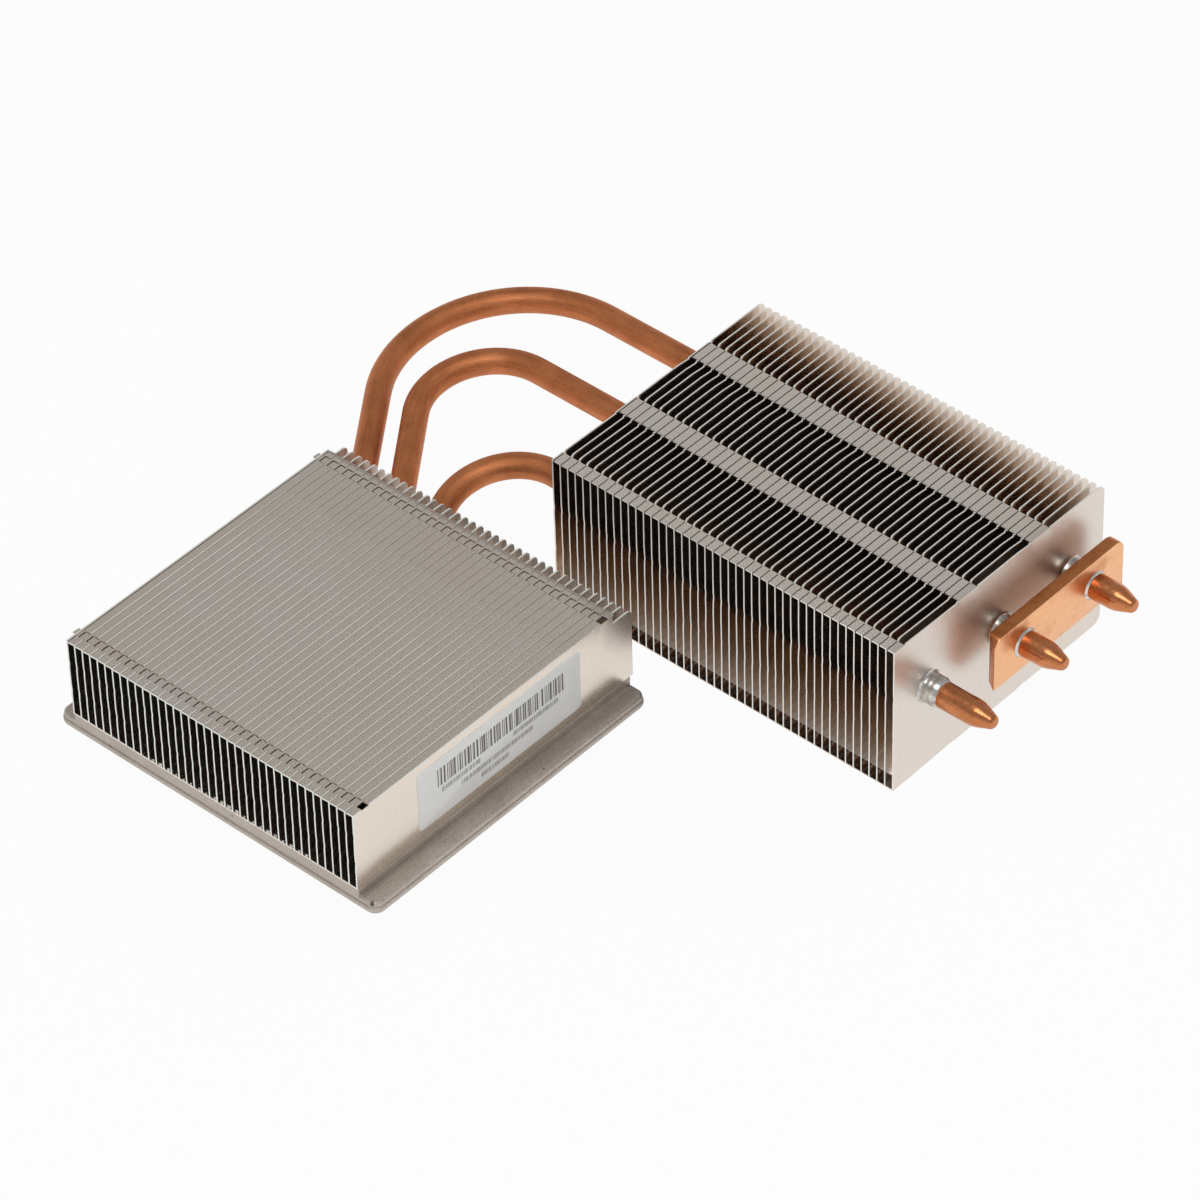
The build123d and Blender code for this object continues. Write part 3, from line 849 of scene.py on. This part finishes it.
# Painted shade: the webs between the sheets below the top bands, and their rear tails, get darker, browner
# colours.
remote_aluminium = rolled_aluminium(
    "rolled_aluminium_remote", (0.95, 0.885, 0.815), 0.27, (1.0, 0.97, 0.935, 1), (1.0, 0.955, 0.895, 1),
    webs=({"Z": (-20.0, -19.0, 25.1, 25.3)}, (0.785, 0.70, 0.625, 1)),
    shaded_tails=({"Y": (117.2, 117.6, 127.0, 136.5), "Z": (-20.0, -19.0, 25.3, 25.5)}, (0.50, 0.41, 0.34, 1)))
end_aluminium = rolled_aluminium(
    "rolled_aluminium_end_sheet", (0.83, 0.77, 0.71), 0.38, (1.0, 0.955, 0.92, 1), (1.0, 0.955, 0.895, 1))
reach = REMOTE_PITCH - REMOTE_SHOWN - REMOTE_SEAM
below = fold_chain(REMOTE_HEIGHT, REMOTE_FOLD, reach + REMOTE_SEAM - 0.02, False, 0, REMOTE_SHOWN)
above = fold_chain(REMOTE_HEIGHT, REMOTE_FOLD, reach, True, 0, REMOTE_SHOWN)
hole_turns = [2 * pi * side / HOLE_SIDES for side in range(HOLE_SIDES)]
holes = [[(row - REMOTE_FRONT + HOLE_RADIUS * cos(turn), PIPE_LEVEL - REMOTE_FOOT + HOLE_RADIUS * sin(turn))
          for turn in hole_turns] for row in PIPE_ROWS]
for index in range(REMOTE_COUNT):
    outline, top, bottom = remote_outline(index > 0)
    bands = []
    if index > 0:
        bands = [(*ends, below, [], []) for ends in bottom] + [(*ends, above, [], []) for ends in top]
    phase = random.uniform(0, 60)
    depth = random.uniform(0.02, 0.08) if index < REMOTE_COUNT - 1 else 0.02

    def sway(y, z):
        middle = sin(pi * min(max(z / REMOTE_HEIGHT, 0), 1))
        lean = 2 * depth * middle * noise.noise(Vector((phase, y * 0.08, z * 0.16)))
        if z > REMOTE_HEIGHT - 0.3 and index < REMOTE_COUNT - 1:
            for start, end in BANDS:
                if end + RELIEF_SLOT - 0.01 <= y:
                    lean += HOOK * max(0.0, 1 - (y - end - RELIEF_SLOT) / HOOK_LENGTH)
        return lean

    sheet_points, sheet_faces, cut = thin_sheet(outline, holes, bands, sway, REMOTE_SHOWN)
    left = REMOTE_LEFT + index * REMOTE_PITCH + SHEET - REMOTE_SHOWN
    points = [(x + left, y + REMOTE_FRONT, z + REMOTE_FOOT) for x, y, z in sheet_points]
    aluminium = remote_aluminium if index < REMOTE_COUNT - 1 else end_aluminium
    fin = make_piece(f"dressed_remote_fin_{index + 1:02d}", points, sheet_faces, aluminium, cut=cut)
    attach(fin, "root")
    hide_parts(f"remote_fin_{index + 1:02d}")


# Solder: each pipe has a collar of it against the remote block's last sheet, drawn up the
# tube while it was hot, and lumps of it squeezed out between the processor fins' feet.
COLLAR_SIDES = 40
FRONT_COLLAR = ((0.0, 4.0), (0.12, 3.62), (0.5, 3.42), (1.2, 3.38), (1.5, 3.5), (1.75, 3.4), (2.6, 3.36),
                (2.9, 3.46), (3.2, 3.3), (3.9, 3.22), (4.25, 3.1), (4.3, 3.0))
SHORT_COLLAR = ((0.0, 4.0), (0.12, 3.62), (0.5, 3.45), (1.6, 3.4), (1.9, 3.48), (2.2, 3.4), (3.5, 3.42),
                (3.75, 3.2), (3.78, 3.0))
BEADS = range(10, 31)


def bright_solder():
    """Tinned solder: bright, lumpy, with a dull skin in the hollows."""
    material, tree, shader = new_material("bright_solder")
    skin = grain(tree, speckle=0.0005, patches=0.0015)
    colour = blend(tree, skin["Patches"], (0.42, 0.40, 0.375, 1), (0.80, 0.78, 0.75, 1))
    surface(tree, shader, colour, ramp(tree, skin["Patches"], 0, 1, 0.34, 0.16), skin["Height"], 0.3, 0.00012)
    return material


def turned_ring(x, row, profile, seed, wobble):
    """A ring round a pipe from (distance, radius) pairs, with an uneven skin and edge."""
    points, faces = [], []
    for far, radius in profile + ((profile[-1][0], PIPE_RADIUS - 0.2), (0.0, PIPE_RADIUS - 0.2)):
        for side in range(COLLAR_SIDES):
            turn = 2 * pi * side / COLLAR_SIDES
            bump = noise.noise(Vector((seed + far * 1.1, 2.2 * cos(turn), 2.2 * sin(turn)))) * wobble
            shown = radius + bump if radius > PIPE_RADIUS else radius
            edge = far + bump * 2.5 if far > profile[-1][0] * 0.6 else far
            points.append((x + min(edge, far), row + shown * cos(turn), PIPE_LEVEL + shown * sin(turn)))
    for start in range(0, len(points), COLLAR_SIDES):
        faces += between(start, (start + COLLAR_SIDES) % len(points), COLLAR_SIDES)
    return points, faces


solder = bright_solder()
for index, name in enumerate(PIPE_NAMES):
    profile = FRONT_COLLAR if name == "front" else SHORT_COLLAR
    shape = turned_ring(REMOTE_RIGHT, PIPE_ROWS[index], profile, 7.3 * index, 0.16)
    collar = make_piece(f"dressed_collar_{name}", *shape, solder, sharp=60)
    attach(collar, "root")
    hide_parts(f"solder_collar_{name}")

random.seed(7)
points, faces = [], []
for index in BEADS:
    size = random.uniform(0.25, 0.62)
    middle = Vector((CPU_LEFT + index * CPU_PITCH + SHEET + random.uniform(0.7, 1.2), CPU_FRONT + 0.35,
                     BASE_TOP + SHEET + size * 0.45))
    lump = bmesh.new()
    bmesh.ops.create_icosphere(lump, subdivisions=2, radius=1.0)
    start = len(points)
    for vertex in lump.verts:
        swell = 1 + 0.35 * noise.noise(vertex.co * 1.3 + Vector((index, 0, 0)))
        points.append(middle + Vector((vertex.co.x * size * 1.15 * swell, vertex.co.y * 0.34,
                                       vertex.co.z * size * 0.8 * swell)))
    faces += [[start + vertex.index for vertex in face.verts] for face in lump.faces]
    lump.free()
beads = make_piece("solder_beads", points, faces, solder, sharp=80)
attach(beads, "root")


# Tie bar: a strip of bare copper, sawn to length and brushed on its face, that the rear and
# middle pipes pass through. It is soldered to them with a thin bright ring.
BAR_INNER = 97.22
BAR_THICK = 3.2
BAR_LOW = (90.2, 1.7)
BAR_SIZE = (43.9, 13.8)
BAR_CORNERS = (0.5, 2.8, 2.8, 0.5)
BAR_EDGE = 0.3
BAR_FRONT_CUT = 2.2      # its front end slants back by this from the outer face to the inner one
RING_PROFILE = ((0.0, 3.5), (0.12, 3.42), (0.28, 3.25), (0.4, 3.1), (0.45, 3.0))


def brushed_copper():
    """Cut strip: pale orange and brushed along its length on the outer face, browner on its
    edges, greyer on the inner face, with brown handling marks."""
    material, tree, shader = new_material("brushed_copper")
    brushed = grain(tree, stretch=(1, 0.12, 1), speckle=0.0003, patches=0.006)
    marks = grain(tree, speckle=0.0006, patches=0.008)
    face = within(tree, {"X": (100.2, 100.35, 101.0, 102.0)})
    dark = blend(tree, face, (0.52, 0.18, 0.06, 1), (0.86, 0.44, 0.215, 1))
    light = blend(tree, face, (0.66, 0.26, 0.10, 1), (0.97, 0.56, 0.32, 1))
    colour = blend(tree, brushed["Speckle"], dark, light)
    back = within(tree, {"X": (97.0, 97.1, 97.25, 97.35)})
    colour = blend(tree, back, colour, (0.76, 0.46, 0.32, 1))
    colour = tinted(tree, colour, ramp(tree, marks["Patches"], 0.5, 0.85), WHITE, (0.78, 0.70, 0.64, 1))
    surface(tree, shader, colour, ramp(tree, brushed["Speckle"], 0, 1, 0.27, 0.4), brushed["Height"],
            0.2, 0.00006)
    return material


levels = []
for far, inset in ((0, BAR_EDGE), (BAR_EDGE, 0), (BAR_THICK - BAR_EDGE, 0), (BAR_THICK - 0.08, 0.1),
                   (BAR_THICK, BAR_EDGE)):
    front = BAR_LOW[0] + BAR_FRONT_CUT * (1 - far / BAR_THICK) + inset
    ring = rounded_outline(BAR_LOW, BAR_SIZE, BAR_CORNERS, 8, inset)
    levels.append((BAR_INNER + far, [(max(y, front), z) for y, z in ring]))
tie_bar = make_piece("dressed_tie_bar", *stacked(levels), brushed_copper())
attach(tie_bar, "root")
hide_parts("tie_bar")
for index, name in enumerate(PIPE_NAMES[:2]):
    shape = turned_ring(BAR_INNER + BAR_THICK, PIPE_ROWS[index], RING_PROFILE, 3.1 * index, 0.08)
    ring = make_piece(f"dressed_ring_{name}", *shape, solder, sharp=60)
    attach(ring, "root")
    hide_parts(f"solder_ring_{name}")


# Studio: a white floor that keeps a faint shadow, a pale sky, one wide soft light overhead, and
# the camera where the photograph was taken from. Under and behind the remote block a shadow
# is painted on the floor, which only the metal's reflections see.
FLOOR_LEVEL = -13.65
FLOOR_SIZE = 4.0
FLOOR_SHOWS = 0.95       # share of plain white that the camera and the metal see in the floor
FLOOR_SHADED = 0.3       # of it that the metal sees under and behind the remote block, in a painted shadow
PAPER_LIGHT = 0.86
PAPER_SHADED = 0.2
FLOOR_SHADE = {"X": (-1.8, 1.2, 90.4, 93.4), "Y": (65.7, 68.7, 158.0, 170.0)}
HORIZON = 0.92           # strength of the sky low down
SKY = 0.425              # and from a slope of SKY_HEIGHTS[1] upwards
SKY_HEIGHTS = (0.02, 0.42)
LIGHT_POWER = 3.0
LIGHT_SIZE = 0.5
LIGHT_PLACE = (0.25, -0.25, 1.0)
LIGHT_AIM = (0.03, 0.04, 0.0)
BOUNCES = 12             # many, because light goes to and fro between the sheets
AIM = (31.66, 43.34, 20.18)
CAMERA_DISTANCE = 1406.6
AZIMUTH = radians(42.59)
ELEVATION = radians(42.06)
ROLL = radians(-1.63)
LENS = 200.73

half = FLOOR_SIZE / 2
floor_mesh = bpy.data.meshes.new("studio_floor")
floor_mesh.from_pydata([(-half, -half, FLOOR_LEVEL * MM), (half, -half, FLOOR_LEVEL * MM),
                        (half, half, FLOOR_LEVEL * MM), (-half, half, FLOOR_LEVEL * MM)], [], [(0, 1, 2, 3)])
white, tree, paper = new_material("white_paper", metallic=0.0)
paper.inputs["Roughness"].default_value = 0.9
paper.inputs["Specular IOR Level"].default_value = 0.0
glow = node(tree, "ShaderNodeEmission", (("Color", WHITE), ("Strength", 1.0)))
seen = node(tree, "ShaderNodeLightPath").outputs
# Painted shadow: under and behind the remote block the floor is darker in the metal's reflections.
shade = within(tree, FLOOR_SHADE)
dim = math(tree, "MULTIPLY", shade, seen["Is Glossy Ray"])
feed(tree, paper.inputs["Base Color"], ramp(tree, dim, 0, 1, PAPER_LIGHT, PAPER_SHADED))
mirrored = math(tree, "MULTIPLY", ramp(tree, shade, 0, 1, FLOOR_SHOWS, FLOOR_SHADED), seen["Is Glossy Ray"])
direct = math(tree, "MULTIPLY", FLOOR_SHOWS, seen["Is Camera Ray"])
mixed = node(tree, "ShaderNodeMixShader", ((0, math(tree, "MAXIMUM", mirrored, direct)),
                                           (1, paper.outputs[0]), (2, glow.outputs[0])))
feed(tree, tree.nodes["Material Output"].inputs["Surface"], mixed.outputs[0])
floor_mesh.materials.append(white)
put("studio_floor", floor_mesh)

world = bpy.data.worlds.new("pale_sky")
bpy.context.scene.world = world
world.use_nodes = True
sky = world.node_tree
background = sky.nodes["Background"]
background.inputs["Color"].default_value = WHITE
direction = node(sky, "ShaderNodeTexCoord").outputs["Generated"]
height = node(sky, "ShaderNodeSeparateXYZ", (("Vector", direction),)).outputs["Z"]
lit = ramp(sky, height, *SKY_HEIGHTS, HORIZON, SKY)
seen = node(sky, "ShaderNodeLightPath").outputs
feed(sky, background.inputs["Strength"], ramp(sky, seen["Is Camera Ray"], 0, 1, lit, 1.0))

lamp_data = bpy.data.lights.new("overhead_softbox", "AREA")
lamp_data.shape = "SQUARE"
lamp_data.size = LIGHT_SIZE
lamp_data.energy = LIGHT_POWER
lamp = put("overhead_softbox", lamp_data)
lamp.location = LIGHT_PLACE
lamp.rotation_euler = (Vector(LIGHT_AIM) - lamp.location).to_track_quat("-Z", "Y").to_euler()

away = Vector((sin(AZIMUTH) * cos(ELEVATION), -cos(AZIMUTH) * cos(ELEVATION), sin(ELEVATION)))
right = Vector((cos(AZIMUTH), sin(AZIMUTH), 0))
up = away.cross(right)
across = right * cos(ROLL) + up * sin(ROLL)
upward = up * cos(ROLL) - right * sin(ROLL)
camera_data = bpy.data.cameras.new("photograph")
camera_data.lens = LENS
camera_data.sensor_width = 36.0
camera_data.clip_end = 20.0
camera = put("photograph", camera_data)
camera.matrix_world = Matrix.Translation((Vector(AIM) + away * CAMERA_DISTANCE) * MM) @ Matrix(
    (across, upward, away)).transposed().to_4x4()
scene = bpy.context.scene
scene.camera = camera
scene.view_settings.view_transform = "Standard"
scene.cycles.max_bounces = BOUNCES
scene.cycles.glossy_bounces = BOUNCES
